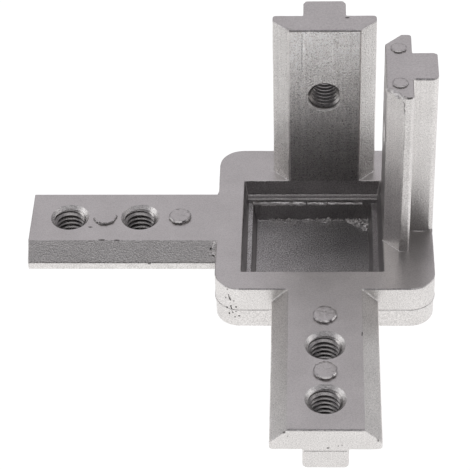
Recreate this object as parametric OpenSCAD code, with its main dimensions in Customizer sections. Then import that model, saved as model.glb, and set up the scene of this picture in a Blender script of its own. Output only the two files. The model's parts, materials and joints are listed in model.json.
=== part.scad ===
// Corner connector for slotted framing profile, die cast in one piece.
// Two flat arms and two upright arms leave a square hub. Each arm is a T section:
// a neck that fills the mouth of the profile's slot and a tongue that sits behind its lips.
// The origin is the centre of the hub's underside, +Z is up.
// The flat arms run towards -X and -Y, and the uprights stand on the +X and +Y sides.

/* [Hub] */
// Side of the square hub, the width of the profile that it joins
hub_side = 40; // [36:0.5:46]
// Radius of the hub's upright corners
hub_corner_r = 4.5; // [2:0.25:7]

/* [Arms] */
// Length of a flat arm beyond the hub's side
arm_length = 35; // [32:0.5:60]
// Height of an upright arm above the hub's top
post_height = 35; // [26:0.5:60]
// How much narrower an upright's tongue is at its end than at the hub
post_taper = 0.2; // [0.1:0.05:0.8]
// Width of the neck, which fills the slot's mouth
neck_width = 7.9; // [7.4:0.1:9]
// Depth of the neck, the thickness of the slot's lips
neck_depth = 4.5; // [3.5:0.1:6]
// Radius of the neck's outer edges
neck_edge_r = 0.9; // [0.3:0.1:1.2]
// Width of the tongue at its widest
tongue_width = 19.2; // [17:0.1:20.5]
// Depth of the tongue, from the neck to its flat
tongue_depth = 4.8; // [4:0.1:6]
// Chamfer on each long edge of the tongue's flat
tongue_chamfer = 3; // [1.5:0.1:3.5]
// Radius of the tongue's edges next to the neck
tongue_edge_r = 0.6; // [0.3:0.1:0.8]
// Fillet in the corners between the neck and the tongue
neck_fillet_r = 0.3; // [0.1:0.05:0.8]

/* [Pocket in the hub] */
// Width of the hub's rim beside the flat arms
rim_width = 4.85; // [3.5:0.05:7]
// Depth of the upper step of the pocket
upper_step_depth = 4.3; // [3:0.1:5]
// How far the upper step's walls lean in over their depth
upper_step_draft = 0.65; // [0.2:0.05:1.2]
// Width of the ledge between the two steps
ledge_width = 1.05; // [0.5:0.05:2]
// How much higher the ledge is along the back wall
back_ledge_rise = 1.1; // [0.3:0.1:2]
// How far the lower step's walls lean in over their depth
lower_step_draft = 0.55; // [0.1:0.05:0.8]
// Thickness of the floor under the pocket
floor_thickness = 1.3; // [0.8:0.1:2]

/* [Tapped holes] */
// Nominal diameter of the set screw's thread
thread_d = 6; // [4:1:6]
// Pitch of the thread
thread_pitch = 1; // [0.7:0.05:1]
// Diameter of the countersinks on the flat arms
arm_countersink_d = 6.8; // [6.2:0.1:7.2]
// Diameter of the countersinks on the uprights
post_countersink_d = 6; // [5.4:0.1:7.2]
// From a flat arm's end to the middle of its outer hole
hole_end_margin = 7.3; // [5:0.1:10]
// Distance between the two holes of a flat arm
hole_pitch = 13.2; // [12:0.1:16]
// Height of an upright's hole above the hub's top
post_hole_height = 20; // [8:0.5:22]

/* [Ejector bosses] */
// Diameter of the bosses that the ejector pins leave on the flat arms
arm_boss_d = 4.4; // [3:0.1:5]
// How far those bosses stand up
arm_boss_height = 0.6; // [0.1:0.05:0.8]
// From the middle of a flat arm's inner boss to the hub's side
arm_boss_margin = 7; // [3:0.1:8]
// Diameter of the bosses on the end of the right upright
post_boss_d = 3; // [2:0.1:3.4]
// How far those bosses stand up
post_boss_height = 0.35; // [0.1:0.05:0.8]
// Distance between the two bosses on that end
post_boss_pitch = 10.4; // [8:0.1:12]

/* [Parting line] */
// Height of the parting line above the hub's underside
parting_height = 4.1; // [2:0.1:7]
// How far the hub's lower half is set back under the parting line
parting_step = 0.1; // [0.05:0.05:0.3]

/* [Hidden] */
$fn = 48;

// One arm's depth from its outer face to its flat is also the hub's thickness
arm_depth = neck_depth + tongue_depth;
hub_top = arm_depth;
flat_width = tongue_width - 2 * tongue_chamfer;
tongue_middle = neck_depth + tongue_depth / 2;
tap_d = thread_d - thread_pitch;
overrun = 1;

// The pocket reaches from the rims to the planes of the uprights' flats
pocket_side = hub_side - rim_width - arm_depth;
pocket_centre = (rim_width - arm_depth) / 2;
upper_step_floor_side = pocket_side - 2 * upper_step_draft;
lower_step_side = upper_step_floor_side - 2 * ledge_width;
lower_step_depth = hub_top - upper_step_depth - floor_thickness;
lower_step_floor_side = lower_step_side - 2 * lower_step_draft;

// Places along a flat arm, measured from the hub's side
outer_hole = arm_length - hole_end_margin;
inner_hole = outer_hole - hole_pitch;
outer_boss = (outer_hole + inner_hole) / 2;
boss_places = [arm_boss_margin, outer_boss];
hole_places = [inner_hole, outer_hole];

// Square with round corners, centred
module rounded_square(side, r) {
    square([side, side - 2 * r], center = true);
    square([side - 2 * r, side], center = true);
    for (x = [-1, 1], y = [-1, 1])
        translate([x, y] * (side / 2 - r)) circle(r);
}

// Bar of a section that starts at y = 0 and has round edges there
module round_edged_bar(width, depth, r) {
    translate([-width / 2, r]) square([width, depth - r]);
    translate([-width / 2 + r, 0]) square([width - 2 * r, r + overrun / 10]);
    for (x = [-1, 1]) translate([x * (width / 2 - r), r]) circle(r);
}

// T section of an arm: the neck's outer face is on y = 0 and the tongue's flat on y = arm_depth
module arm_section() {
    round_edged_bar(neck_width, neck_depth + overrun, neck_edge_r);
    translate([0, neck_depth])
        round_edged_bar(tongue_width, tongue_depth - tongue_chamfer, tongue_edge_r);
    polygon([
        [-tongue_width / 2, arm_depth - tongue_chamfer],
        [tongue_width / 2, arm_depth - tongue_chamfer],
        [flat_width / 2, arm_depth],
        [-flat_width / 2, arm_depth]
    ]);
    for (side = [0, 1]) mirror([side, 0]) neck_fillet();
}

// Material in the corner between the neck's side and the tongue's underside
module neck_fillet() {
    difference() {
        translate([neck_width / 2 - overrun, neck_depth - neck_fillet_r])
            square([neck_fillet_r + overrun, neck_fillet_r + overrun / 10]);
        translate([neck_width / 2 + neck_fillet_r, neck_depth - neck_fillet_r])
            circle(neck_fillet_r);
    }
}

// Countersunk through hole of an arm, along +Z from the neck's outer face to the tongue's flat
module tapped_hole(countersink_d) {
    sink = (countersink_d - tap_d) / 2;
    translate([0, 0, -overrun]) cylinder(d = tap_d, h = arm_depth + 2 * overrun);
    translate([0, 0, -overrun])
        cylinder(d1 = countersink_d + 2 * overrun, d2 = tap_d, h = sink + overrun);
    translate([0, 0, arm_depth - sink])
        cylinder(d1 = tap_d, d2 = countersink_d + 2 * overrun, h = sink + overrun);
}

// Flat arm along -Y from the hub's side, with the bosses that its ejector pins left
module flat_arm() {
    translate([0, -hub_side / 2 + rim_width / 2, 0]) rotate([90, 0, 0])
        linear_extrude(arm_length + rim_width / 2) arm_section();
    for (place = boss_places)
        translate([0, -hub_side / 2 - place, hub_top - overrun])
            cylinder(d = arm_boss_d, h = arm_boss_height + overrun);
}

module flat_arm_holes() {
    for (place = hole_places)
        translate([0, -hub_side / 2 - place, 0]) tapped_hole(arm_countersink_d);
}

// Upright on the hub's +Y side, with its neck flush with that side at the hub.
// Its faces draw in towards the middle of the tongue as they rise, so that it leaves the die.
module upright() {
    translate([0, hub_side / 2 - tongue_middle, hub_top]) mirror([0, 1, 0])
        linear_extrude(post_height, scale = 1 - post_taper / tongue_width)
            translate([0, -tongue_middle]) arm_section();
}

module upright_hole() {
    translate([0, hub_side / 2, hub_top + post_hole_height]) rotate([90, 0, 0])
        tapped_hole(post_countersink_d);
}

// Bosses on the end of the upright on the +Y side
module upright_bosses() {
    for (x = [-1, 1])
        translate([
            x * post_boss_pitch / 2,
            hub_side / 2 - tongue_middle,
            hub_top + post_height - overrun
        ])
            cylinder(d = post_boss_d, h = post_boss_height + overrun);
}

// Square block with the parting line's step round its sides
module hub() {
    linear_extrude(hub_top)
        rounded_square(hub_side - 2 * parting_step, hub_corner_r - parting_step);
    translate([0, 0, parting_height]) linear_extrude(hub_top - parting_height)
        rounded_square(hub_side, hub_corner_r);
}

// Square recess that narrows downwards from the plane z = 0
module drafted_recess(top_side, floor_side, depth) {
    lean = (top_side - floor_side) / 2 / depth;
    translate([0, 0, -depth])
        linear_extrude(depth + overrun, scale = (top_side + 2 * lean * overrun) / floor_side)
            square(floor_side, center = true);
}

// Stepped pocket that opens in the hub's top
module pocket() {
    translate([pocket_centre, pocket_centre, hub_top])
        drafted_recess(pocket_side, upper_step_floor_side, upper_step_depth);
    translate([pocket_centre, pocket_centre, hub_top - upper_step_depth])
        drafted_recess(lower_step_side, lower_step_floor_side, lower_step_depth);
}

// Bar that raises the ledge along the pocket's back wall, flush with the wall below it
module back_ledge() {
    front = pocket_centre + lower_step_side / 2;
    back = pocket_centre + pocket_side / 2;
    base = hub_top - upper_step_depth - overrun / 2;
    translate([pocket_centre - pocket_side / 2, front, base])
        cube([pocket_side, back - front, back_ledge_rise + overrun / 2]);
}

// Turns what is built on the -Y or +Y side to the -X or +X side
module quarter_turn() {
    rotate([0, 0, -90]) children();
}

module connector_casting() {
    color("silver") difference() {
        union() {
            difference() {
                hub();
                pocket();
            }
            back_ledge();
            flat_arm();
            quarter_turn() flat_arm();
            upright();
            quarter_turn() upright();
            quarter_turn() upright_bosses();
        }
        flat_arm_holes();
        quarter_turn() flat_arm_holes();
        upright_hole();
        quarter_turn() upright_hole();
    }
}

connector_casting();
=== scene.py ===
"""Looks of a die-cast corner connector for slotted framing profile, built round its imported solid."""

import json
import math

import bmesh
import bpy
from mathutils import Matrix, Vector, noise


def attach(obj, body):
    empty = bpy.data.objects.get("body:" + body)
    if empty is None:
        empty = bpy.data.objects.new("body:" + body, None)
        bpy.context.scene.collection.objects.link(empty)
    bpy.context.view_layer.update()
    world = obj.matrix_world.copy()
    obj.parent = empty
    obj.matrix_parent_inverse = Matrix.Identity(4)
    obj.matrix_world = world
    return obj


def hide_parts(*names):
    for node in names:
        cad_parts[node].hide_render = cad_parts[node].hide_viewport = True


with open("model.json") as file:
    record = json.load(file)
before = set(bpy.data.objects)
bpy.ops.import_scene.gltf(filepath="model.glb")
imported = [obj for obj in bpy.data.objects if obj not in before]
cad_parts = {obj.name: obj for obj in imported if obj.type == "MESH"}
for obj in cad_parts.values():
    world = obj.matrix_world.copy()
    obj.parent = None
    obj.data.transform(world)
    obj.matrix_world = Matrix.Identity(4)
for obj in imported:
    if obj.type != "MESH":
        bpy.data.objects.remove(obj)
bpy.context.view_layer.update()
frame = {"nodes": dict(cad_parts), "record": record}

MM = 0.001
CASTING = "connector_casting"
FLAT_MARK = "flat_normal"
mounts = {mount["name"]: mount for mount in frame["record"]["mounts"]}

# Sizes of the casting that the looks hang on
hub_half = -mounts["left_seat"]["pos_m"][0]
hub_top = mounts["post_seat"]["pos_m"][2]
post_top = mounts["back_tongue"]["pos_m"][2]
arm_end = -mounts["front_tongue"]["pos_m"][1]
hub_corner_r = 4.5 * MM
arm_depth = hub_top
neck_half = 3.95 * MM
tongue_half = 9.6 * MM
chamfer = 3 * MM
flat_half = tongue_half - chamfer
post_flat = hub_half - arm_depth
parting_height = 4.1 * MM
pocket_low = -15.15 * MM
pocket_high = post_flat
pocket_floor = 1.3 * MM
pocket_back_wall = 9.0 * MM

# Marks of the ejector pins
arm_boss_r = 2.2 * MM
arm_boss_height = 0.6 * MM
arm_boss_places = (27 * MM, 41.1 * MM)
post_boss_r = 1.5 * MM
post_boss_height = 0.35 * MM
post_boss_depth = 13.1 * MM
post_boss_side = 5.2 * MM
boss_wear = 0.1 * MM
boss_undercut = 0.13

# Worn edges
edge_round = 0.24 * MM
edge_steps = 3
shortest_inner_edge = 0.3 * MM
edge_point_spacing = 1.2 * MM
edge_wander = 0.035 * MM
edge_wander_length = 0.8 * MM
edge_wander_seed = 7
flat_face_area = 8 * MM * MM
smooth_turn = math.radians(38)
sharp_turn = math.radians(25)
chamfer_turn = math.radians(50)
same_level = 0.02 * MM

# Thread of the set-screw holes
thread_pitch = 1.0 * MM
thread_minor_r = 2.5 * MM
thread_root_r = 2.98 * MM
bore_sides = 64
arm_countersink_r = 3.4 * MM
post_countersink_r = 3.0 * MM
countersink_wear = 0.2 * MM

# Grain of the cast metal: shot leaves dimples of about 0.1 mm, drawn coarser so that they show in the
# render, the metal's flow in the die leaves clouds, and the die drags lines up the uprights
grit_size = 0.22 * MM
cloud_size = 6 * MM
drag_spacing = 0.5 * MM
drag_length = 40 * MM

# Studio
floor_half = 3.0
floor_level = -0.02 * MM
paper_glow = 0.945
soft_box_distance = 1.2

# Camera that took the photograph, solved from the casting's edges
IMAGE_SIDE = 470
focal_pixels = 2129.34
camera_yaw = math.radians(2.73)
camera_pitch = math.radians(40.89)
camera_roll = math.radians(-1.8)
camera_offset = Vector((16.93, -3.67, 404.38)) * MM


def linear(hex_colour):
    """Linear RGBA of an sRGB hex colour."""
    channels = [int(hex_colour[i : i + 2], 16) / 255 for i in (1, 3, 5)]
    curved = [c / 12.92 if c <= 0.04045 else ((c + 0.055) / 1.055) ** 2.4 for c in channels]
    return (*curved, 1.0)


def add_node(tree, kind, settings=None, inputs=None):
    """Adds one node. A setting is a property; an input is a value or the socket that feeds it."""
    node = tree.nodes.new(kind)
    for name, value in (settings or {}).items():
        setattr(node, name, value)
    for name, value in (inputs or {}).items():
        if isinstance(value, bpy.types.NodeSocket):
            tree.links.new(value, node.inputs[name])
        else:
            node.inputs[name].default_value = value
    return node


def add_object(name, mesh):
    """Object at the origin that shows a mesh."""
    made = bpy.data.objects.new(name, mesh)
    bpy.context.scene.collection.objects.link(made)
    return made


def baked(made):
    """Plain mesh of an object with its modifiers applied and removed."""
    bpy.context.view_layer.update()
    depsgraph = bpy.context.evaluated_depsgraph_get()
    mesh = bpy.data.meshes.new_from_object(made.evaluated_get(depsgraph))
    made.modifiers.clear()
    made.data = mesh
    return mesh


def joined(name, meshes):
    """One object out of several meshes, whose faces keep their finishes."""
    together = bmesh.new()
    whole = bpy.data.meshes.new(name)
    for mesh in meshes:
        first = len(together.faces)
        together.from_mesh(mesh)
        together.faces.ensure_lookup_table()
        for finish in filter(None, mesh.materials):
            if finish.name not in whole.materials:
                whole.materials.append(finish)
        for face in together.faces[first:]:
            face.material_index = whole.materials.find(mesh.materials[face.material_index].name)
    together.to_mesh(whole)
    together.free()
    return add_object(name, whole)


def new_tree(name, sockets):
    """Empty Geometry Nodes tree with named inputs and one mesh output."""
    tree = bpy.data.node_groups.new(name, "GeometryNodeTree")
    for socket, kind in sockets.items():
        tree.interface.new_socket(socket, in_out="INPUT", socket_type=f"NodeSocket{kind}")
    tree.interface.new_socket("Mesh", in_out="OUTPUT", socket_type="NodeSocketGeometry")
    return tree


def end_tree(tree, geometry, finish):
    """Ends a Geometry Nodes tree with real faces that have their finish."""
    whole = add_node(tree, "GeometryNodeRealizeInstances", inputs={"Geometry": geometry})
    finished = add_node(
        tree,
        "GeometryNodeSetMaterial",
        inputs={"Geometry": whole.outputs["Geometry"], "Material": finish},
    )
    add_node(tree, "NodeGroupOutput", inputs={"Mesh": finished.outputs["Geometry"]})


def grown(tree, values, path=()):
    """Mesh that a Geometry Nodes tree makes from its named inputs, along a path of points if it has one."""
    base = bpy.data.meshes.new(tree.name)
    base.from_pydata(path, [(i, i + 1) for i in range(len(path) - 1)], [])
    made = add_object(tree.name, base)
    modifier = made.modifiers.new(tree.name, "NODES")
    modifier.node_group = tree
    for item in tree.interface.items_tree:
        if item.in_out == "INPUT" and item.name in values:
            modifier[item.identifier] = values[item.name]
    mesh = baked(made)
    bpy.data.objects.remove(made)
    return mesh


def cut(made, other):
    """Cuts another object's volume out of one, with its finish, and removes the other."""
    # The solver loses the smallest pits in metres, so the cut is made in millimetres
    made.data.transform(Matrix.Scale(1 / MM, 4))
    other.data.transform(Matrix.Scale(1 / MM, 4))
    step = made.modifiers.new("cut", "BOOLEAN")
    step.operation = "DIFFERENCE"
    step.solver = "EXACT"
    step.material_mode = "TRANSFER"
    step.object = other
    baked(made).transform(Matrix.Scale(MM, 4))
    bpy.data.objects.remove(other)


def set_screw_holes():
    """Centre, axis and countersink radius of each tapped hole, from the record's mounts."""
    holes = []
    for mount in mounts.values():
        centre = Vector(mount["pos_m"])
        axis = Vector(mount["axis"])
        if mount["kind"] == "threaded_hole":
            holes.append((centre, axis, post_countersink_r))
        if mount["kind"] == "bolt_pattern":
            dims = mount["dims"]
            pitch = Vector((dims.get("spacing_x_mm", 0), dims.get("spacing_y_mm", 0), 0)) * MM
            holes.append((centre - pitch / 2, axis, arm_countersink_r))
            holes.append((centre + pitch / 2, axis, arm_countersink_r))
    return holes


# Finishes
def cast_metal(name, colours, roughness, grit_depth, level_grain, painted_shading=None):
    """Aluminium with grit in its surface, of which level faces show only a share.

    Painted shade and light scale its colour round a centre, from one share of its own colour to another
    between two distances.
    """
    dark, pale = colours
    smooth, rough = roughness
    material = bpy.data.materials.new(name)
    material.use_nodes = True
    tree = material.node_tree
    tree.nodes.clear()
    spot = add_node(tree, "ShaderNodeTexCoord").outputs
    place = spot["Object"]
    facing = add_node(tree, "ShaderNodeSeparateXYZ", inputs={"Vector": spot["Normal"]}).outputs["Z"]
    height = add_node(tree, "ShaderNodeSeparateXYZ", inputs={"Vector": place}).outputs["Z"]
    grit = add_node(
        tree,
        "ShaderNodeTexNoise",
        inputs={"Vector": place, "Scale": 1 / grit_size, "Detail": 1.0, "Roughness": 0.6},
    )
    speckle = add_node(
        tree, "ShaderNodeMapRange", inputs={"Value": grit.outputs["Fac"], "From Min": 0.3, "From Max": 0.7}
    )
    # Level faces were rubbed smoother than the sides
    strength = add_node(
        tree,
        "ShaderNodeMapRange",
        inputs={"Value": facing, "From Min": 0.8, "From Max": 0.95, "To Min": 1.0, "To Max": level_grain},
    )
    cloud = add_node(
        tree,
        "ShaderNodeTexNoise",
        inputs={"Vector": place, "Scale": 1 / cloud_size, "Detail": 3.0, "Roughness": 0.55},
    )
    drag_scale = (1 / drag_spacing, 1 / drag_spacing, 1 / drag_length)
    drag_place = add_node(tree, "ShaderNodeMapping", inputs={"Vector": place, "Scale": drag_scale})
    drag = add_node(
        tree,
        "ShaderNodeTexNoise",
        inputs={"Vector": drag_place.outputs["Vector"], "Scale": 1.0, "Detail": 1.0, "Roughness": 0.5},
    )
    on_upright = add_node(
        tree,
        "ShaderNodeMapRange",
        inputs={"Value": height, "From Min": hub_top + 0.2 * MM, "From Max": hub_top + 4 * MM},
    )
    known = {
        "speckle": speckle.outputs["Result"],
        "strength": strength.outputs["Result"],
        "cloud": cloud.outputs["Fac"],
        "drag": drag.outputs["Fac"],
        "on upright": on_upright.outputs["Result"],
    }
    for step, operation, first, second in (
        ("off grey", "SUBTRACT", "speckle", 0.5),
        ("grain", "MULTIPLY", "off grey", "strength"),
        ("off cloud", "SUBTRACT", "cloud", 0.5),
        ("soft cloud", "MULTIPLY", "off cloud", 0.6),
        ("off line", "SUBTRACT", "drag", 0.5),
        ("soft line", "MULTIPLY", "off line", 0.5),
        ("line", "MULTIPLY", "soft line", "on upright"),
        ("grain on cloud", "ADD", "grain", "soft cloud"),
        ("lined", "ADD", "grain on cloud", "line"),
        ("tone", "ADD", "lined", 0.5),
    ):
        inputs = {0: known.get(first, first), 1: known.get(second, second)}
        known[step] = add_node(tree, "ShaderNodeMath", {"operation": operation}, inputs).outputs[0]
    colour = add_node(
        tree,
        "ShaderNodeMix",
        {"data_type": "RGBA"},
        {"Factor": known["tone"], 6: linear(dark), 7: linear(pale)},
    ).outputs[2]
    # Painted shade and light: the colour scaled by its distance from a centre
    if painted_shading:
        centre, near, far, share_near, share_far = painted_shading
        reach = add_node(tree, "ShaderNodeVectorMath", {"operation": "DISTANCE"}, {0: place, 1: centre})
        share = add_node(
            tree,
            "ShaderNodeMapRange",
            {"interpolation_type": "SMOOTHSTEP"},
            {
                "Value": reach.outputs["Value"],
                "From Min": near,
                "From Max": far,
                "To Min": share_near,
                "To Max": share_far,
            },
        )
        colour = add_node(
            tree,
            "ShaderNodeVectorMath",
            {"operation": "SCALE"},
            {0: colour, "Scale": share.outputs["Result"]},
        ).outputs[0]
    gloss = add_node(
        tree,
        "ShaderNodeMapRange",
        inputs={"Value": known["speckle"], "To Min": smooth, "To Max": rough},
    )
    bump = add_node(
        tree,
        "ShaderNodeBump",
        inputs={"Strength": known["strength"], "Distance": grit_depth, "Height": known["tone"]},
    )
    shader = add_node(
        tree,
        "ShaderNodeBsdfPrincipled",
        inputs={
            "Base Color": colour,
            "Metallic": 1.0,
            "Roughness": gloss.outputs["Result"],
            "Normal": bump.outputs["Normal"],
        },
    )
    add_node(tree, "ShaderNodeOutputMaterial", inputs={"Surface": shader.outputs["BSDF"]})
    return material


# Die-cast aluminium, shot blasted: pale and matte, with a fine grit that breaks up every reflection.
# Painted shade darkens it in front of the right upright's foot
foot_painted_shade = ((17 * MM, -7.5 * MM, hub_top), 1 * MM, 10 * MM, 0.78, 1.0)
blasted_finish = cast_metal(
    "shot_blasted_aluminium", ("#c6c3c1", "#f0edeb"), (0.29, 0.39), 0.019 * MM, 0.42, foot_painted_shade
)
# The same metal on the back upright's flat, with painted shade at the foot that fades upwards into painted
# light near the end
back_painted_shade_and_light = ((0, post_flat, hub_top), 4.7 * MM, 32.7 * MM, 0.55, 1.43)
flat_painted_shading_finish = cast_metal(
    "aluminium_flat_painted_shade_and_light", ("#aeabaa", "#f2efed"), (0.26, 0.36), 0.046 * MM, 0.55, back_painted_shade_and_light
)
# The same metal on that upright's chamfers, with painted shade that is darkest at the right foot
chamfer_painted_shade = ((flat_half, post_flat, hub_top), 0.0, 21 * MM, 0.5, 0.84)
edge_finish = cast_metal(
    "aluminium_chamfer_painted_shade", ("#c0bdbb", "#f6f3f1"), (0.25, 0.35), 0.04 * MM, 0.55, chamfer_painted_shade
)
# Skin as it left the die, where the shot doesn't reach: the same metal, darker, a colour that also paints the
# pocket's shade, with painted shade that deepens towards the foot of the pocket's back wall
pocket_painted_shade = ((-3 * MM, 40 * MM, -60 * MM), 70.5 * MM, 74.5 * MM, 0.68, 1.0)
skin_and_shade_finish = cast_metal(
    "as_cast_skin_and_painted_shade", ("#9f9c9c", "#cac7c7"), (0.3, 0.4), 0.06 * MM, 1.0, pocket_painted_shade
)
# The same skin on the pocket's floor, with painted shade near the right upright that turns into painted light
# towards the open front left corner
floor_painted_shade_and_light = ((8 * MM, 4 * MM, pocket_floor), 0.0, 24 * MM, 0.46, 1.5)
floor_finish = cast_metal(
    "skin_painted_floor_shade_and_light", ("#959292", "#ebe9e9"), (0.28, 0.38), 0.07 * MM, 1.0, floor_painted_shade_and_light
)
# Countersinks, turned with a dull tool: brighter and smoother than the skin round them
turned_finish = cast_metal("turned_aluminium", ("#d6d3d1", "#f8f6f4"), (0.32, 0.42), 0.03 * MM, 1.0)
# Thread cut by a tap: clean metal, coloured a little darker than the faces round it
thread_finish = cast_metal("darker_tapped_aluminium", ("#9a9796", "#c6c3c1"), (0.27, 0.34), 0.008 * MM, 1.0)
# Flash that tore off the die: bright, broken metal with a coarse grain
torn_finish = cast_metal("torn_aluminium_flash", ("#d6d3d1", "#fbf9f7"), (0.3, 0.45), 0.05 * MM, 1.0)
# Skin torn from the pocket's core: broken like the flash, but duller
torn_skin_finish = cast_metal("torn_aluminium_skin", ("#b4b1af", "#e2e0de"), (0.3, 0.45), 0.05 * MM, 1.0)
# Pits and torn edges: dark and dull, a colour that also paints the shade in and beside them
dark_dull_and_shade_finish = cast_metal("aluminium_dark_dull_and_painted_shade", ("#7a7776", "#bab7b5"), (0.35, 0.5), 0.05 * MM, 1.0)


# Tapped holes
def bore_plug(depth, sink_r):
    """Plug along Z in the shape of a bore of the thread's root size, with a countersink at each face."""
    past_face = 0.75 * MM
    half = depth / 2
    sink_end = half - (sink_r - thread_root_r)
    outline = (
        (-half - past_face, sink_r + past_face),
        (-sink_end, thread_root_r),
        (sink_end, thread_root_r),
        (half + past_face, sink_r + past_face),
    )
    plug = bmesh.new()
    rings = []
    for height, radius in outline:
        ring = []
        for side in range(bore_sides):
            turn = 2 * math.pi * side / bore_sides
            ring.append(plug.verts.new((radius * math.cos(turn), radius * math.sin(turn), height)))
        rings.append(ring)
    for finish, lower, upper in zip((0, 1, 0), rings, rings[1:]):
        for side in range(bore_sides):
            after = (side + 1) % bore_sides
            wall = plug.faces.new((lower[side], lower[after], upper[after], upper[side]))
            wall.material_index = finish
    plug.faces.new(rings[0])
    plug.faces.new(rings[-1])
    bmesh.ops.recalc_face_normals(plug, faces=plug.faces)
    mesh = bpy.data.meshes.new("bore_plug")
    plug.to_mesh(mesh)
    plug.free()
    mesh.materials.append(turned_finish)
    mesh.materials.append(thread_finish)
    return mesh


def thread_ridge_tree():
    """Ridge of an inner thread along Z, which runs out in the countersinks at both ends."""
    tree = new_tree(
        "thread_ridge",
        {
            "Pitch": "Float",
            "Minor Radius": "Float",
            "Root Radius": "Float",
            "Countersink Radius": "Float",
            "Depth": "Float",
            "Finish": "Material",
        },
    )
    sizes = add_node(tree, "NodeGroupInput").outputs
    known = {socket.name: socket for socket in sizes if socket.name}
    for name, operation, first, second in (
        ("foot radius", "ADD", "Root Radius", 0.1 * MM),
        ("ridge height", "SUBTRACT", "foot radius", "Minor Radius"),
        ("both radii", "ADD", "foot radius", "Minor Radius"),
        ("middle radius", "DIVIDE", "both radii", 2.0),
        ("crest width", "DIVIDE", "Pitch", 4.0),
        ("run", "SUBTRACT", "Depth", "Pitch"),
        ("turns", "DIVIDE", "run", "Pitch"),
        ("half run", "DIVIDE", "run", 2.0),
        ("half depth", "DIVIDE", "Depth", 2.0),
        ("last height", "SUBTRACT", "half depth", 0.1 * MM),
    ):
        inputs = {0: known.get(first, first), 1: known.get(second, second)}
        known[name] = add_node(tree, "ShaderNodeMath", {"operation": operation}, inputs).outputs[0]
    helix = add_node(
        tree,
        "GeometryNodeCurveSpiral",
        inputs={
            "Resolution": bore_sides,
            "Rotations": known["turns"],
            "Start Radius": known["middle radius"],
            "End Radius": known["middle radius"],
            "Height": known["run"],
            "Reverse": True,
        },
    )
    upright = add_node(
        tree, "GeometryNodeSetCurveNormal", {"mode": "Z_UP"}, {"Curve": helix.outputs["Curve"]}
    )
    section = add_node(
        tree,
        "GeometryNodeCurvePrimitiveQuadrilateral",
        {"mode": "TRAPEZOID"},
        {
            "Height": known["ridge height"],
            "Bottom Width": sizes["Pitch"],
            "Top Width": known["crest width"],
            "Offset": 0.0,
        },
    )
    turned = add_node(
        tree,
        "GeometryNodeTransform",
        inputs={"Geometry": section.outputs["Curve"], "Rotation": (0.0, 0.0, math.pi / 2)},
    )
    ridge = add_node(
        tree,
        "GeometryNodeCurveToMesh",
        inputs={
            "Curve": upright.outputs["Curve"],
            "Profile Curve": turned.outputs["Geometry"],
            "Fill Caps": True,
        },
    )
    place = add_node(tree, "GeometryNodeInputPosition").outputs["Position"]
    along = add_node(tree, "ShaderNodeSeparateXYZ", inputs={"Vector": place}).outputs
    known.update({socket.name: socket for socket in along})
    for name, operation, first, second in (
        ("level", "SUBTRACT", "Z", "half run"),
        ("from middle", "ABSOLUTE", "level", 0.0),
        ("kept", "MINIMUM", "from middle", "last height"),
        ("side", "SIGN", "level", 0.0),
        ("height", "MULTIPLY", "kept", "side"),
        ("below face", "SUBTRACT", "half depth", "kept"),
        ("cone", "SUBTRACT", "Countersink Radius", "below face"),
        ("behind cone", "ADD", "cone", 0.08 * MM),
        ("x squared", "MULTIPLY", "X", "X"),
        ("y squared", "MULTIPLY", "Y", "Y"),
        ("r squared", "ADD", "x squared", "y squared"),
        ("r", "SQRT", "r squared", 0.0),
        ("radius", "MAXIMUM", "r", "behind cone"),
        ("widen", "DIVIDE", "radius", "r"),
        ("new x", "MULTIPLY", "X", "widen"),
        ("new y", "MULTIPLY", "Y", "widen"),
    ):
        inputs = {0: known.get(first, first), 1: known.get(second, second)}
        known[name] = add_node(tree, "ShaderNodeMath", {"operation": operation}, inputs).outputs[0]
    moved = add_node(
        tree,
        "ShaderNodeCombineXYZ",
        inputs={"X": known["new x"], "Y": known["new y"], "Z": known["height"]},
    )
    shaped = add_node(
        tree,
        "GeometryNodeSetPosition",
        inputs={"Geometry": ridge.outputs["Mesh"], "Position": moved.outputs["Vector"]},
    )
    end_tree(tree, shaped.outputs["Geometry"], sizes["Finish"])
    return tree


def tapped_holes(holes):
    """Plugs that cut the bores of all set-screw holes, and the ridges of thread that stand in them."""
    tree = thread_ridge_tree()
    plugs = []
    ridges = []
    for centre, axis, countersink_r in holes:
        worn_r = countersink_r + countersink_wear
        ridge = grown(
            tree,
            {
                "Pitch": thread_pitch,
                "Minor Radius": thread_minor_r,
                "Root Radius": thread_root_r,
                "Countersink Radius": worn_r,
                "Depth": arm_depth,
                "Finish": thread_finish,
            },
        )
        plug = bore_plug(arm_depth, worn_r)
        turn = Matrix.Translation(centre) @ axis.to_track_quat("Z", "Y").to_matrix().to_4x4()
        plug.transform(turn)
        ridge.transform(turn)
        plugs.append(plug)
        ridges.append(ridge)
    return plugs, ridges


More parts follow.
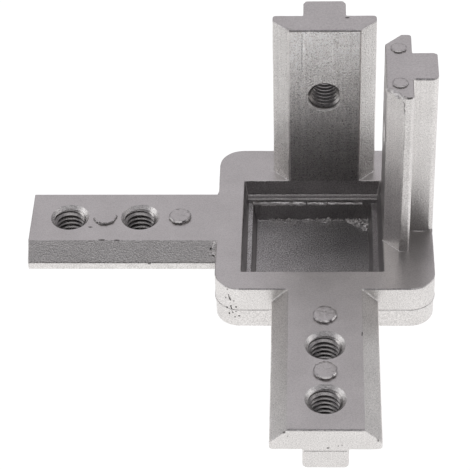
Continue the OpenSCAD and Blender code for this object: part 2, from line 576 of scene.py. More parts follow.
# Ejector bosses
def ejector_boss_tree():
    """Low round boss along Z with a ragged rim, its foot sunk below z = 0."""
    tree = new_tree(
        "ejector_boss",
        {
            "Radius": "Float",
            "Height": "Float",
            "Foot": "Float",
            "Rim Drop": "Float",
            "Raggedness": "Float",
            "Grain": "Float",
            "Seed": "Float",
            "Finish": "Material",
        },
    )
    sizes = add_node(tree, "NodeGroupInput").outputs
    depth = add_node(
        tree, "ShaderNodeMath", {"operation": "ADD"}, {0: sizes["Height"], 1: sizes["Foot"]}
    ).outputs[0]
    core = add_node(
        tree,
        "GeometryNodeMeshCylinder",
        {"fill_type": "TRIANGLE_FAN"},
        {
            "Vertices": 48,
            "Side Segments": 2,
            "Fill Segments": 8,
            "Radius": sizes["Radius"],
            "Depth": depth,
        },
    )
    place = add_node(tree, "GeometryNodeInputPosition").outputs["Position"]
    along = add_node(tree, "ShaderNodeSeparateXYZ", inputs={"Vector": place}).outputs
    scale = add_node(tree, "ShaderNodeMath", {"operation": "DIVIDE"}, {0: 1.0, 1: sizes["Grain"]})
    rough = add_node(
        tree,
        "ShaderNodeTexNoise",
        {"noise_dimensions": "4D"},
        {"Vector": place, "W": sizes["Seed"], "Scale": scale.outputs[0], "Detail": 1.0},
    )
    known = {socket.name: socket for socket in (*sizes, *along) if socket.name}
    known["rough"] = rough.outputs["Fac"]
    for name, operation, first, second in (
        ("over foot", "SUBTRACT", "Height", "Foot"),
        ("lift", "DIVIDE", "over foot", 2.0),
        ("level", "ADD", "Z", "lift"),
        ("share", "DIVIDE", "level", "Height"),
        ("shown", "MAXIMUM", "share", 0.0),
        ("x squared", "MULTIPLY", "X", "X"),
        ("y squared", "MULTIPLY", "Y", "Y"),
        ("r squared", "ADD", "x squared", "y squared"),
        ("r", "SQRT", "r squared", 0.0),
        ("reach", "DIVIDE", "r", "Radius"),
        ("rim", "POWER", "reach", 12.0),
        ("wobble", "SUBTRACT", "rough", 0.5),
        ("ragged", "MULTIPLY", "wobble", "Raggedness"),
        ("ragged rim", "MULTIPLY", "ragged", "rim"),
        ("rim fall", "MULTIPLY", "rim", "Rim Drop"),
        ("uneven", "MULTIPLY", "ragged", 0.35),
        ("rise", "SUBTRACT", "uneven", "rim fall"),
        ("rise shown", "MULTIPLY", "rise", "shown"),
        ("height", "ADD", "level", "rise shown"),
        ("spread", "DIVIDE", "ragged rim", "Radius"),
        ("under lip", "MULTIPLY", "shown", boss_undercut),
        ("lipped", "ADD", "under lip", "spread"),
        ("widen", "ADD", "lipped", 1 - boss_undercut),
        ("across", "MULTIPLY", "X", "widen"),
        ("along arm", "MULTIPLY", "Y", "widen"),
    ):
        inputs = {0: known.get(first, first), 1: known.get(second, second)}
        known[name] = add_node(tree, "ShaderNodeMath", {"operation": operation}, inputs).outputs[0]
    moved = add_node(
        tree,
        "ShaderNodeCombineXYZ",
        inputs={"X": known["across"], "Y": known["along arm"], "Z": known["height"]},
    )
    shaped = add_node(
        tree,
        "GeometryNodeSetPosition",
        inputs={"Geometry": core.outputs["Mesh"], "Position": moved.outputs["Vector"]},
    )
    end_tree(tree, shaped.outputs["Geometry"], sizes["Finish"])
    return tree


def ejector_bosses():
    """The bosses on the flat arms and on the right upright's end, with blasted tops and duller sides."""
    tree = ejector_boss_tree()
    inner, outer = arm_boss_places
    arm_sizes = (arm_boss_r, arm_boss_height)
    post_sizes = (post_boss_r, post_boss_height)
    bosses = (
        ((-inner, 0, hub_top), arm_sizes, 3.1),
        ((0, -inner, hub_top), arm_sizes, 8.3),
        ((0, -outer, hub_top), arm_sizes, 2.9),
        ((post_boss_depth, -post_boss_side, post_top), post_sizes, 4.4),
        ((post_boss_depth, post_boss_side, post_top), post_sizes, 6.8),
    )
    meshes = []
    for place, (radius, height), seed in bosses:
        mesh = grown(
            tree,
            {
                "Radius": radius - boss_wear,
                "Height": height,
                "Foot": 0.5 * MM,
                "Rim Drop": 0.42 * height,
                "Raggedness": 1.5 * height,
                "Grain": 0.55 * MM,
                "Seed": seed,
                "Finish": blasted_finish,
            },
        )
        mesh.materials.append(skin_and_shade_finish)
        for face in mesh.polygons:
            if face.normal.z < 0.5:
                face.material_index = len(mesh.materials) - 1
        mesh.transform(Matrix.Translation(place))
        meshes.append(mesh)
    return meshes


# Flash and witness lines
def flash_line_tree():
    """Ragged bead of flash along a path."""
    tree = new_tree(
        "flash_line",
        {
            "Path": "Geometry",
            "Radius": "Float",
            "Raggedness": "Float",
            "Grain": "Float",
            "Finish": "Material",
        },
    )
    sizes = add_node(tree, "NodeGroupInput").outputs
    curve = add_node(tree, "GeometryNodeMeshToCurve", inputs={"Mesh": sizes["Path"]})
    points = add_node(
        tree,
        "GeometryNodeResampleCurve",
        {"mode": "LENGTH"},
        {"Curve": curve.outputs["Curve"], "Length": 0.3 * MM},
    )
    section = add_node(
        tree, "GeometryNodeCurvePrimitiveCircle", inputs={"Resolution": 8, "Radius": sizes["Radius"]}
    )
    bead = add_node(
        tree,
        "GeometryNodeCurveToMesh",
        inputs={
            "Curve": points.outputs["Curve"],
            "Profile Curve": section.outputs["Curve"],
            "Fill Caps": True,
        },
    )
    place = add_node(tree, "GeometryNodeInputPosition").outputs["Position"]
    scale = add_node(tree, "ShaderNodeMath", {"operation": "DIVIDE"}, {0: 1.0, 1: sizes["Grain"]})
    rough = add_node(
        tree,
        "ShaderNodeTexNoise",
        inputs={"Vector": place, "Scale": scale.outputs[0], "Detail": 1.0},
    )
    centred = add_node(
        tree,
        "ShaderNodeVectorMath",
        {"operation": "SUBTRACT"},
        {0: rough.outputs["Color"], 1: (0.5, 0.5, 0.5)},
    )
    shift = add_node(
        tree,
        "ShaderNodeVectorMath",
        {"operation": "SCALE"},
        {0: centred.outputs[0], "Scale": sizes["Raggedness"]},
    )
    shaped = add_node(
        tree,
        "GeometryNodeSetPosition",
        inputs={"Geometry": bead.outputs["Mesh"], "Offset": shift.outputs[0]},
    )
    end_tree(tree, shaped.outputs["Geometry"], sizes["Finish"])
    return tree


def arc(centre, radius, start, end, height, steps=12):
    """Points of a level arc, its angles in degrees from +X."""
    points = []
    for step in range(steps + 1):
        angle = math.radians(start + (end - start) * step / steps)
        points.append(Vector((*centre, height)) + radius * Vector((math.cos(angle), math.sin(angle), 0)))
    return points


def parting_paths():
    """The parting line round the hub, in two stretches between the flat arms' necks."""
    level = parting_height
    bend = hub_half - hub_corner_r
    gap = neck_half + 0.5 * MM
    front_left = [Vector((-gap, -hub_half, level))]
    front_left += arc((-bend, -bend), hub_corner_r, 270, 180, level)
    front_left += [Vector((-hub_half, -gap, level))]
    round_back = [Vector((gap, -hub_half, level))]
    for corner, start in (((bend, -bend), -90), ((bend, bend), 0), ((-bend, bend), 90)):
        round_back += arc(corner, hub_corner_r, start, start + 90, level)
    round_back += [Vector((-hub_half, gap, level))]
    return [front_left, round_back]


def witness_paths():
    """The slanting lines where the tongues' chamfers meet the hub."""
    foot = arm_depth - chamfer
    paths = []
    for side in (-1, 1):
        paths.append([(side * flat_half, -hub_half, hub_top), (side * tongue_half, -hub_half, foot)])
        paths.append([(-hub_half, side * flat_half, hub_top), (-hub_half, side * tongue_half, foot)])
        paths.append(
            [(side * flat_half, post_flat, hub_top), (side * tongue_half, post_flat + chamfer, hub_top)]
        )
        paths.append(
            [(post_flat, side * flat_half, hub_top), (post_flat + chamfer, side * tongue_half, hub_top)]
        )
    return paths


def end_paths():
    """The parting lines across the necks' ends on the flat arms."""
    end = neck_half - 0.3 * MM
    front = [(-end, -arm_end, parting_height), (end, -arm_end, parting_height)]
    left = [(-arm_end, -end, parting_height), (-arm_end, end, parting_height)]
    return [front, left]


def pocket_paths():
    """The bright edges in the pocket, along the back ledge and up the back corners, where the bright flash
    also paints the corners' highlights.
    """
    top = hub_top / MM
    upper_edge = (pocket_high - 0.49 * MM) / MM
    low = pocket_low / MM
    high = pocket_high / MM
    ledge = 6.1
    wall = pocket_back_wall / MM
    wall_foot = [(low + 0.5, upper_edge, ledge), (high - 0.5, upper_edge, ledge)]
    ledge_edge = [(low + 0.6, wall, ledge), (high - 0.6, wall, ledge)]
    left_corner = [(low + 0.03, high - 0.03, top - 0.1), (low + 0.7, high - 0.7, 5.0)]
    right_corner = [(high - 0.03, high - 0.03, top - 0.1), (high - 0.7, high - 0.7, 5.0)]
    return [wall_foot, ledge_edge, left_corner, right_corner]


def fin_paths():
    """The fin of flash under the back ledge, torn through in two places, with the radius of each stretch."""
    out = pocket_back_wall / MM - 0.28
    level = 5.25
    stretches = ((-13.6, -3.5, 0.36), (-3.2, 0.55, 0.3), (0.7, 7.3, 0.24))
    return [([(start, out, level), (end, out, level)], radius) for start, end, radius in stretches]


def burr_paths():
    """The burrs along the edges of the trimmed ends and of the hub's front, with their radii and finishes."""
    top = post_top / MM - 0.14
    flat = post_flat / MM + 0.08
    narrow = flat_half / MM - 0.1
    wide = tongue_half / MM - 0.1
    neck = neck_half / MM - 0.08
    outer = hub_half / MM - 0.9
    deep = flat + chamfer / MM
    front = 0.1 - arm_end / MM
    back_edge = [(-narrow, flat, top), (narrow, flat, top)]
    neck_edge = [(hub_half / MM - 4.2, -neck, top), (outer, -neck, top)]
    front_edge = [(-narrow, front, hub_top / MM - 0.14), (narrow, front, hub_top / MM - 0.14)]
    chamfer_edge = [(flat + 0.2, -narrow - 0.1, top - 0.1), (deep, -wide + 0.1, top - 0.1)]
    bend = (hub_half - hub_corner_r) / MM
    rim = 0.1 - hub_half / MM
    rim_top = hub_top / MM - 0.12
    left_rim = [(-bend, rim, rim_top), (-narrow - 0.6, rim, rim_top)]
    right_rim = [(narrow + 0.6, rim, rim_top), (bend, rim, rim_top)]
    return [
        (back_edge, 0.2, 0.12, skin_and_shade_finish),
        (neck_edge, 0.2, 0.12, skin_and_shade_finish),
        (front_edge, 0.2, 0.12, skin_and_shade_finish),
        (chamfer_edge, 0.45, 0.75, torn_finish),
        (left_rim, 0.15, 0.09, skin_and_shade_finish),
        (right_rim, 0.15, 0.09, skin_and_shade_finish),
    ]


def hole_burr():
    """The burr under the hole in the back upright's flat."""
    level = mounts["back_upright_set_screw"]["pos_m"][2]
    turned = arc((0, level), post_countersink_r + countersink_wear - 0.05 * MM, 175, 385, 0, 24)
    return [Vector((point.x, post_flat - 0.04 * MM, point.y)) for point in turned]


def in_metres(marks):
    """Beads whose points, radius and raggedness are given in millimetres."""
    beads = []
    for path, radius, raggedness, finish in marks:
        points = [Vector(point) * MM for point in path]
        beads.append((points, radius * MM, raggedness * MM, finish))
    return beads


def ragged_beads(tree, beads):
    """Beads along paths, each with its radius, raggedness and finish."""
    meshes = []
    for path, radius, raggedness, finish in beads:
        values = {
            "Radius": radius,
            "Raggedness": raggedness,
            "Grain": 0.7 * MM,
            "Finish": finish,
        }
        meshes.append(grown(tree, values, path))
    return meshes


def flash_lines():
    """Beads of flash along the parting line, the pocket's edges and the ends, and round the worn boss."""
    worn = (-arm_boss_places[1], 0)
    # The crescent's dark colour also paints shade beside the worn boss's bright lip
    crescent = ((190, 232, 0.2), (240, 322, 0.3), (330, 374, 0.2))
    crescent_lip = arc(worn, arm_boss_r - 0.16 * MM, 195, 365, hub_top + 0.17 * MM, 24)
    root_flake = [(-20.2, -6.9, 9.0), (-20.35, -8.6, 7.4)]
    beads = [(path, 0.1 * MM, 0.08 * MM, torn_finish) for path in parting_paths()]
    beads += [(path, 0.15 * MM, 0.1 * MM, torn_finish) for path in witness_paths()]
    beads += [(path, 0.08 * MM, 0.06 * MM, torn_finish) for path in end_paths()]
    marks = [(path, 0.15, 0.12, torn_finish) for path in pocket_paths()]
    marks += [(path, radius, 1.2 * radius, torn_finish) for path, radius in fin_paths()]
    beads += in_metres(marks + burr_paths())
    beads.append((hole_burr(), 0.24 * MM, 0.3 * MM, torn_finish))
    for start, end, radius in crescent:
        path = arc(worn, arm_boss_r - 0.1 * MM, start, end, hub_top)
        beads.append((path, radius * MM, 0.45 * MM, dark_dull_and_shade_finish))
    beads.append((crescent_lip, 0.1 * MM, 0.3 * MM, torn_finish))
    beads += in_metres([(root_flake, 0.45, 0.8, torn_finish)])
    return ragged_beads(flash_line_tree(), beads)


def cracks():
    """Ragged cracks to be cut, clear of each other: in two corners and beside a drag mark."""
    corner = [
        (13.5, -9.35, 43.5),
        (13.85, -9.48, 42.9),
        (13.55, -9.42, 42.2),
        (13.8, -9.5, 41.5),
        (13.6, -9.48, 40.8),
    ]
    end_edge = [(14.1, -9.35, 44.3), (15.1, -9.4, 44.3)]
    upper_smear = [(-17.4, -19.6, 7.6), (-17.15, -19.7, 6.2)]
    lower_smear = [(-17.1, -19.7, 5.2), (-16.75, -19.78, 3.2)]
    scratch = [(-4.15, 10.71, 34.5), (-4.1, 10.73, 43.6)]
    marks = [
        (corner, 0.11, 0.3, skin_and_shade_finish),
        (end_edge, 0.2, 0.3, dark_dull_and_shade_finish),
        (upper_smear, 0.16, 0.6, dark_dull_and_shade_finish),
        (lower_smear, 0.2, 0.7, dark_dull_and_shade_finish),
        (scratch, 0.06, 0.15, skin_and_shade_finish),
    ]
    return ragged_beads(flash_line_tree(), in_metres(marks))


# Lumps and pits
def casting_lump_tree():
    """Small rough lump round the origin."""
    tree = new_tree(
        "casting_lump",
        {
            "Size": "Vector",
            "Raggedness": "Float",
            "Seed": "Float",
            "Finish": "Material",
        },
    )
    sizes = add_node(tree, "NodeGroupInput").outputs
    core = add_node(tree, "GeometryNodeMeshIcoSphere", inputs={"Radius": 1.0, "Subdivisions": 3})
    place = add_node(tree, "GeometryNodeInputPosition").outputs["Position"]
    rough = add_node(
        tree,
        "ShaderNodeTexNoise",
        {"noise_dimensions": "4D"},
        {"Vector": place, "W": sizes["Seed"], "Scale": 1.6, "Detail": 1.0},
    )
    known = {"rough": rough.outputs["Fac"], "Raggedness": sizes["Raggedness"]}
    for name, operation, first, second in (
        ("wobble", "SUBTRACT", "rough", 0.5),
        ("ragged", "MULTIPLY", "wobble", "Raggedness"),
        ("reach", "ADD", "ragged", 1.0),
    ):
        inputs = {0: known.get(first, first), 1: known.get(second, second)}
        known[name] = add_node(tree, "ShaderNodeMath", {"operation": operation}, inputs).outputs[0]
    rounded = add_node(
        tree, "ShaderNodeVectorMath", {"operation": "SCALE"}, {0: place, "Scale": known["reach"]}
    )
    moved = add_node(
        tree, "ShaderNodeVectorMath", {"operation": "MULTIPLY"}, {0: rounded.outputs[0], 1: sizes["Size"]}
    )
    shaped = add_node(
        tree,
        "GeometryNodeSetPosition",
        inputs={"Geometry": core.outputs["Mesh"], "Position": moved.outputs[0]},
    )
    end_tree(tree, shaped.outputs["Geometry"], sizes["Finish"])
    return tree


# Pits and knocks in the ends, the corners and the long edges
pit_spots = (
    ((-16.1, -19.95, 4.9), (0.18, 0.15, 0.2)),
    ((-15.6, -19.95, 2.6), (0.22, 0.15, 0.18)),
    ((-17.95, -19.3, 6.6), (0.16, 0.14, 0.2)),
    ((-16.45, -19.92, 6.3), (0.15, 0.12, 0.16)),
    ((-17.75, -19.4, 4.3), (0.2, 0.16, 0.26)),
    ((-16.15, -19.93, 3.7), (0.17, 0.14, 0.22)),
    ((-17.4, -19.5, 2.9), (0.2, 0.16, 0.24)),
    ((-16.35, -19.86, 2.3), (0.16, 0.14, 0.18)),
    ((-17.6, -19.5, 8.8), (0.15, 0.12, 0.18)),
    ((0.4, -55.06, 4.95), (0.3, 0.14, 0.2)),
    ((2.1, -55.06, 5.4), (0.16, 0.11, 0.14)),
    ((2.75, -55.06, 5.6), (0.15, 0.11, 0.18)),
    ((-7.1, -55.02, 8.65), (0.35, 0.16, 0.25)),
    ((-6.4, -55.06, 7.8), (0.18, 0.1, 0.14)),
    ((8.8, -55.02, 6.8), (0.2, 0.13, 0.3)),
    ((4.1, 14.65, 44.35), (0.45, 0.22, 0.3)),
    ((-43.7, -2.85, 9.35), (0.5, 0.2, 0.12)),
    ((-41.3, -6.5, 9.3), (0.6, 0.2, 0.15)),
    ((-38.4, -6.6, 9.3), (0.5, 0.2, 0.16)),
    ((-32.4, -9.65, 6.2), (0.35, 0.18, 0.22)),
    ((6.5, -31.6, 9.3), (0.16, 0.5, 0.14)),
    # Dark pits beside the flake at the left arm's root, which also paint its shadow
    ((-20.9, -7.7, 8.2), (0.35, 0.2, 0.3)),
    ((-20.5, -8.6, 7.3), (0.25, 0.2, 0.25)),
)

# Specks of torn metal on the uprights' ends
speck_spots = (
    ((-6.4, 11.5, 44.3), (0.55, 0.25, 0.1)),
    ((5.8, 11.0, 44.28), (0.6, 0.2, 0.12)),
    ((7.4, 12.4, 44.3), (0.5, 0.25, 0.08)),
    ((10.9, -6.8, 44.1), (0.4, 0.5, 0.28)),
    ((12.6, -8.6, 44.05), (0.45, 0.55, 0.34)),
    ((13.5, -9.3, 44.1), (0.3, 0.3, 0.2)),
)

# Low ridges that the die dragged up the back upright's flat, from the hole to the end
drag_spots = (
    ((-3.5, 10.73, 38.2), (0.5, 0.1, 5.6)),
    ((1.6, 10.73, 38.2), (0.3, 0.09, 5.4)),
)


def lumps(spots, raggedness, finish):
    """Rough lumps, each at a place and of a size given in millimetres."""
    tree = casting_lump_tree()
    meshes = []
    for number, (place, size) in enumerate(spots):
        values = {
            "Size": Vector(size) * MM,
            "Raggedness": raggedness,
            "Seed": 1.7 * number,
            "Finish": finish,
        }
        mesh = grown(tree, values)
        mesh.transform(Matrix.Translation(Vector(place) * MM))
        meshes.append(mesh)
    return meshes


def ragged_slab(low, high, cells, move):
    """Closed slab of small cells between two corners, its points moved by a rule."""
    slab = bmesh.new()
    bmesh.ops.create_grid(slab, x_segments=cells[0], y_segments=cells[1], size=0.5)
    raised = bmesh.ops.extrude_face_region(slab, geom=slab.faces[:], use_keep_orig=True)["geom"]
    tops = [item for item in raised if isinstance(item, bmesh.types.BMVert)]
    bmesh.ops.translate(slab, vec=(0, 0, 1), verts=tops)
    size = Vector(high) - Vector(low)
    for vert in slab.verts:
        share = vert.co + Vector((0.5, 0.5, 0))
        place = Vector(low) + Vector((share.x * size.x, share.y * size.y, share.z * size.z))
        vert.co = Vector(move(place, share)) * MM
    bmesh.ops.recalc_face_normals(slab, faces=slab.faces)
    mesh = bpy.data.meshes.new("slab")
    slab.to_mesh(mesh)
    slab.free()
    mesh.materials.append(torn_skin_finish)
    return mesh


def torn_floor(place, share):
    """Torn skin on the pocket's floor: tongues along the back wall and a patch in the back right corner."""
    from_wall = 8.45 - place.y
    left_tongue = 0.7 * math.exp(-(((place.x + 6.7) / 1.3) ** 2))
    right_tongue = 0.8 * math.exp(-(((place.x - 0.7) / 1.0) ** 2))
    wave = 0.45 * noise.noise(Vector((place.x / 1.9, 1.7, 0)))
    ripple = 0.25 * noise.noise(Vector((place.x / 0.6, 4.3, 0)))
    torn_width = 0.2 + (left_tongue + right_tongue) + (wave + ripple)
    along_wall = min(1, max(0, (torn_width - from_wall) / 0.2))
    patch_edge = 8.2 - 0.72 * (place.x - 3.6) + 0.9 * noise.noise(Vector((place.x / 0.8, place.y / 0.8, 2.9)))
    in_patch = min(1, max(0, (place.y - patch_edge) / 0.3))
    mask = max(along_wall, in_patch)
    grain = abs(noise.noise(place / 0.5)) + 0.6 * abs(noise.noise(place / 0.23))
    lift = mask * (0.06 + 0.7 * grain) - (1 - mask) * 0.2
    return (place.x, place.y, place.z + lift * share.z)


def torn_pocket_skin():
    """Torn skin that the core left on the pocket's floor."""
    floor = pocket_floor / MM
    return [ragged_slab((-12.9, 4.2, floor - 0.4), (8.5, 8.6, floor), (144, 30), torn_floor)]


# Casting
def plain_shell(holes):
    """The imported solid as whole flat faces, closed over where holes and ejector bosses are made finer."""
    up = Vector((0, 0, 1))
    margin = 0.1 * MM
    depth_of_marks = 8 * MM
    marks = [(centre, axis, countersink_r + margin) for centre, axis, countersink_r in holes]
    marks += [(Vector((-place, 0, hub_top)), up, arm_boss_r + margin) for place in arm_boss_places]
    marks += [(Vector((0, -place, hub_top)), up, arm_boss_r + margin) for place in arm_boss_places]
    for side in (-1, 1):
        centre = Vector((post_boss_depth, side * post_boss_side, post_top))
        marks.append((centre, up, post_boss_r + margin))
    shell = bmesh.new()
    shell.from_mesh(frame["nodes"][CASTING].data)
    bmesh.ops.remove_doubles(shell, verts=shell.verts, dist=0.001 * MM)
    closed_over = []
    for centre, axis, width in marks:
        inside = set()
        for vert in shell.verts:
            off = vert.co - centre
            if off.length < depth_of_marks and (off - off.dot(axis) * axis).length < width:
                inside.add(vert)
        closed_over += [face for face in shell.faces if inside.issuperset(face.verts)]
    bmesh.ops.delete(shell, geom=closed_over, context="FACES")
    bmesh.ops.holes_fill(shell, edges=[edge for edge in shell.edges if edge.is_boundary], sides=0)
    bmesh.ops.delete(shell, geom=[vert for vert in shell.verts if not vert.link_faces], context="VERTS")
    bmesh.ops.recalc_face_normals(shell, faces=shell.faces)
    bmesh.ops.dissolve_limit(shell, angle_limit=math.radians(0.3), verts=shell.verts, edges=shell.edges)
    return shell


def split_long_edge(edge):
    """Adds evenly spaced points along an edge and returns its parts."""
    start, end = edge.verts
    pieces = max(1, round(edge.calc_length() / edge_point_spacing))
    parts = []
    for left in range(pieces, 1, -1):
        added, middle = bmesh.utils.edge_split(edge, start, 1 / left)
        first, rest = (added, edge) if end in edge.verts else (edge, added)
        parts.append(first)
        edge = rest
        start = middle
    return parts + [edge]


def beside_neck(place):
    """Whether a place lies in the thin wedge between a neck's round edge and the hub's side."""
    across = min(abs(place.x), abs(place.y))
    out = max(abs(place.x), abs(place.y))
    return across < neck_half + 0.5 * MM and abs(out - hub_half) < 0.3 * MM


def round_edges(shell):
    """Rounds the sharp edges a little, but not the parting line, the flats' long edges or inner arcs."""
    chosen = []
    for edge in list(shell.edges):
        sharp = edge.calc_face_angle() > sharp_turn
        on_parting = all(abs(vert.co.z - parting_height) < same_level for vert in edge.verts)
        inner_arc = not edge.is_convex and edge.calc_length() < shortest_inner_edge
        level = all(abs(vert.co.z - hub_top) < same_level for vert in edge.verts)
        beside_flat = level and edge.calc_face_angle() < chamfer_turn
        if sharp and not on_parting and not inner_arc and not beside_flat:
            chosen += split_long_edge(edge)
    chosen = [edge for edge in chosen if not all(beside_neck(vert.co) for vert in edge.verts)]
    bmesh.ops.bevel(
        shell,
        geom=chosen,
        offset=edge_round,
        offset_type="OFFSET",
        segments=edge_steps,
        profile=0.5,
        affect="EDGES",
        clamp_overlap=False,
        loop_slide=True,
    )
    bmesh.ops.recalc_face_normals(shell, faces=shell.faces)


def mark_flats(shell):
    """Notes the normal of every large face and cuts all faces into triangles, which keep the note."""
    flat = shell.faces.layers.float_vector.new(FLAT_MARK)
    for face in shell.faces:
        if face.calc_area() > flat_face_area:
            face[flat] = face.normal
    bmesh.ops.triangulate(shell, faces=shell.faces)


def wear_and_lay_normals(mesh):
    """Lets the rounded edges wander a little and turns the shading smoothly from one flat to the next."""
    shell = bmesh.new()
    shell.from_mesh(mesh)
    flat = shell.faces.layers.float_vector[FLAT_MARK]
    worn = set()
    for face in shell.faces:
        if face[flat].length < 0.5 and mesh.materials[face.material_index] == blasted_finish:
            worn.update(face.verts)
    noise.seed_set(edge_wander_seed)
    for vert in worn:
        vert.co += noise.noise_vector(vert.co / edge_wander_length) * edge_wander
        vert.co.z = max(vert.co.z, 0)
    shell.normal_update()
    areas = {face: face.calc_area() for face in shell.faces}
    least_dot = math.cos(smooth_turn)
    normals = []
    for face in shell.faces:
        for corner in face.verts:
            normal = face[flat].copy()
            if normal.length < 0.5:
                near = [other for other in corner.link_faces if other.normal.dot(face.normal) > least_dot]
                normal = sum((other.normal * areas[other] for other in near), Vector()).normalized()
            normals.append(normal)
    shell.to_mesh(mesh)
    shell.free()
    mesh.shade_smooth()
    mesh.normals_split_custom_set(normals)


def lay_skins_and_painted_shade(mesh):
    """Gives the blasted faces in the pocket and on the back upright's flat and chamfers their finishes:
    as-cast skin that also paints the pocket's shade, and painted shade and light on the pocket's floor and
    the upright.
    """
    first = len(mesh.materials)
    for finish in (skin_and_shade_finish, floor_finish, flat_painted_shading_finish, edge_finish):
        mesh.materials.append(finish)
    for face in mesh.polygons:
        if mesh.materials[face.material_index] != blasted_finish:
            continue
        place = face.center
        across = pocket_low < place.x < pocket_high and pocket_low < place.y < pocket_high
        if across and pocket_floor / 2 < place.z < hub_top - 0.1 * MM:
            low_down = place.z < pocket_floor + 0.5 * MM
            on_left_ledge = place.x < pocket_low + 2 * MM and place.z < arm_depth / 2 + 1 * MM
            # Level faces low in the pocket or on its left ledge take the floor's painted shade and light
            painted_floor_face = face.normal.z > 0.9 and (low_down or on_left_ledge)
            face.material_index = first + 1 if painted_floor_face else first
        if face.normal.y < -0.99 and abs(place.y - post_flat) < 0.1 * MM and place.z > hub_top:
            face.material_index = first + 2
        on_chamfer = abs(abs(face.normal.x) - abs(face.normal.y)) < 0.1 and face.normal.y < -0.6
        if on_chamfer and place.y > post_flat and flat_half < abs(place.x) < tongue_half:
            face.material_index = first + 3


def casting_piece():
    """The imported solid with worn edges, tapped holes, ejector bosses, flash and pits."""
    holes = set_screw_holes()
    shell = plain_shell(holes)
    round_edges(shell)
    mark_flats(shell)
    mesh = bpy.data.meshes.new("casting")
    shell.to_mesh(mesh)
    shell.free()
    mesh.materials.append(blasted_finish)
    solid = add_object("solid", mesh)
    plugs, ridges = tapped_holes(holes)
    cut(solid, joined("hollows", plugs + cracks() + lumps(pit_spots, 1.3, dark_dull_and_shade_finish)))
    raised = ridges + ejector_bosses() + flash_lines() + torn_pocket_skin()
    raised += lumps(drag_spots, 0.15, flat_painted_shading_finish) + lumps(speck_spots, 1.3, torn_finish)
    casting = joined("casting", [solid.data] + raised)
    bpy.data.objects.remove(solid)
    lay_skins_and_painted_shade(casting.data)
    wear_and_lay_normals(casting.data)
    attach(casting, "root")
    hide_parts(CASTING)
    return casting


casting_piece()


# Floor and light
def white_paper(name, kinds):
    """Paper that looks white to some kinds of ray and takes the casting's shadow."""
    material = bpy.data.materials.new(name)
    material.use_nodes = True
    tree = material.node_tree
    tree.nodes.clear()
    path = add_node(tree, "ShaderNodeLightPath").outputs
    seen = path[kinds[0]]
    for kind in kinds[1:]:
        seen = add_node(tree, "ShaderNodeMath", {"operation": "MAXIMUM"}, {0: seen, 1: path[kind]}).outputs[0]
    glow = add_node(tree, "ShaderNodeMath", {"operation": "MULTIPLY"}, {0: seen, 1: paper_glow})
    white = add_node(
        tree, "ShaderNodeEmission", inputs={"Color": linear("#ffffff"), "Strength": glow.outputs[0]}
    )
    paper = add_node(tree, "ShaderNodeBsdfDiffuse", inputs={"Color": linear("#808080")})
    both = add_node(
        tree, "ShaderNodeAddShader", inputs={0: white.outputs["Emission"], 1: paper.outputs["BSDF"]}
    )
    add_node(tree, "ShaderNodeOutputMaterial", inputs={"Surface": both.outputs["Shader"]})
    return material


def white_floor():
    """Plain white floor. Where the flat arms cover it, it lights nothing in their holes."""
    covered_half = neck_half - 1 * MM
    covered_end = arm_end - 1 * MM
    lines = (-floor_half, -covered_end, -hub_half, -covered_half, covered_half, floor_half)
    corners = [(x, y, floor_level) for y in lines for x in lines]
    cells = []
    for row in range(len(lines) - 1):
        for column in range(len(lines) - 1):
            first = row * len(lines) + column
            cells.append((first, first + 1, first + len(lines) + 1, first + len(lines)))
    mesh = bpy.data.meshes.new("floor")
    mesh.from_pydata(corners, [], cells)
    open_rays = ("Is Camera Ray", "Is Glossy Ray", "Is Transmission Ray")
    mesh.materials.append(white_paper("open_paper", open_rays))
    mesh.materials.append(white_paper("covered_paper", open_rays[:1]))
    for face in mesh.polygons:
        near, far = sorted((abs(face.center.x), abs(face.center.y)))
        if near < covered_half and hub_half < far < covered_end:
            face.material_index = 1
    add_object("floor", mesh)


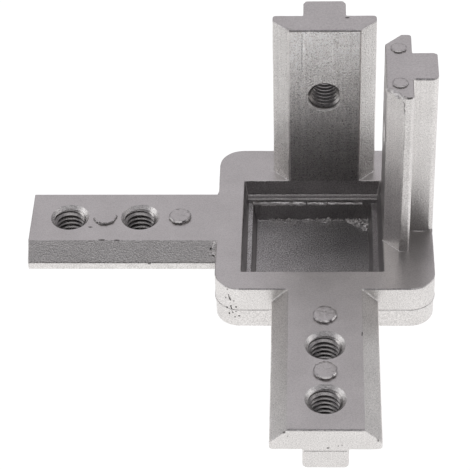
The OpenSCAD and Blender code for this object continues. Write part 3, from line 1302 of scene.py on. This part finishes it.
def studio_room():
    """Grey room round the table, darker at the front, where the camera stands, and towards the horizon."""
    world = bpy.data.worlds.new("studio")
    world.use_nodes = True
    tree = world.node_tree
    tree.nodes.clear()
    direction = add_node(tree, "ShaderNodeTexCoord").outputs["Generated"]
    along = add_node(tree, "ShaderNodeSeparateXYZ", inputs={"Vector": direction}).outputs
    away = add_node(
        tree,
        "ShaderNodeMapRange",
        {"interpolation_type": "SMOOTHSTEP"},
        {"Value": along["Y"], "From Min": -0.9, "From Max": -0.45},
    )
    up = add_node(
        tree,
        "ShaderNodeMapRange",
        {"interpolation_type": "SMOOTHSTEP"},
        {"Value": along["Z"], "From Min": 0.0, "From Max": 0.4, "To Min": 0.3},
    )
    grey = add_node(
        tree,
        "ShaderNodeMix",
        {"data_type": "RGBA"},
        {"Factor": away.outputs["Result"], 6: linear("#424143"), 7: linear("#8f8d91")},
    )
    room = add_node(
        tree, "ShaderNodeBackground", inputs={"Color": grey.outputs[2], "Strength": up.outputs["Result"]}
    )
    add_node(tree, "ShaderNodeOutputWorld", inputs={"Surface": room.outputs["Background"]})
    bpy.context.scene.world = world


def soft_box(name, direction, size, power, colour="#ffffff"):
    """Soft box that faces the casting from a direction, an azimuth and an elevation in degrees."""
    azimuth, elevation = direction
    turn = math.radians(azimuth)
    rise = math.radians(elevation)
    away = Vector((math.cos(turn) * math.cos(rise), math.sin(turn) * math.cos(rise), math.sin(rise)))
    lamp = bpy.data.lights.new(name, "AREA")
    lamp.shape = "RECTANGLE"
    lamp.size, lamp.size_y = size
    lamp.energy = power
    lamp.color = linear(colour)[:3]
    made = bpy.data.objects.new(name, lamp)
    bpy.context.scene.collection.objects.link(made)
    made.location = away * soft_box_distance
    made.rotation_euler = (-away).to_track_quat("-Z", "Y").to_euler()


def photograph_camera():
    """Camera at the photograph's place, turn and lens."""
    forward = Vector(
        (
            -math.sin(camera_yaw) * math.cos(camera_pitch),
            math.cos(camera_yaw) * math.cos(camera_pitch),
            -math.sin(camera_pitch),
        )
    )
    level = Vector((math.cos(camera_yaw), math.sin(camera_yaw), 0))
    rise = level.cross(forward)
    right = math.cos(camera_roll) * level + math.sin(camera_roll) * rise
    up = math.cos(camera_roll) * rise - math.sin(camera_roll) * level
    data = bpy.data.cameras.new("camera")
    data.sensor_width = 36
    data.lens = focal_pixels / IMAGE_SIDE * data.sensor_width
    data.clip_start = 10 * MM
    camera = bpy.data.objects.new("camera", data)
    bpy.context.scene.collection.objects.link(camera)
    turn = Matrix((right, up, -forward)).transposed().to_4x4()
    place = -(camera_offset.x * right + camera_offset.y * up + camera_offset.z * forward)
    camera.matrix_world = Matrix.Translation(place) @ turn
    bpy.context.scene.camera = camera


white_floor()
studio_room()
soft_box("back_box", (90, 40), (1.5, 1.0), 1.37, "#fffbff")
soft_box("left_box", (180, 26), (0.65, 0.65), 2.0)
soft_box("right_box", (0, 26), (0.65, 0.65), 1.7)
soft_box("top_box", (270, 76), (1.1, 1.1), 1.85)
photograph_camera()
bpy.context.scene.view_settings.view_transform = "Standard"
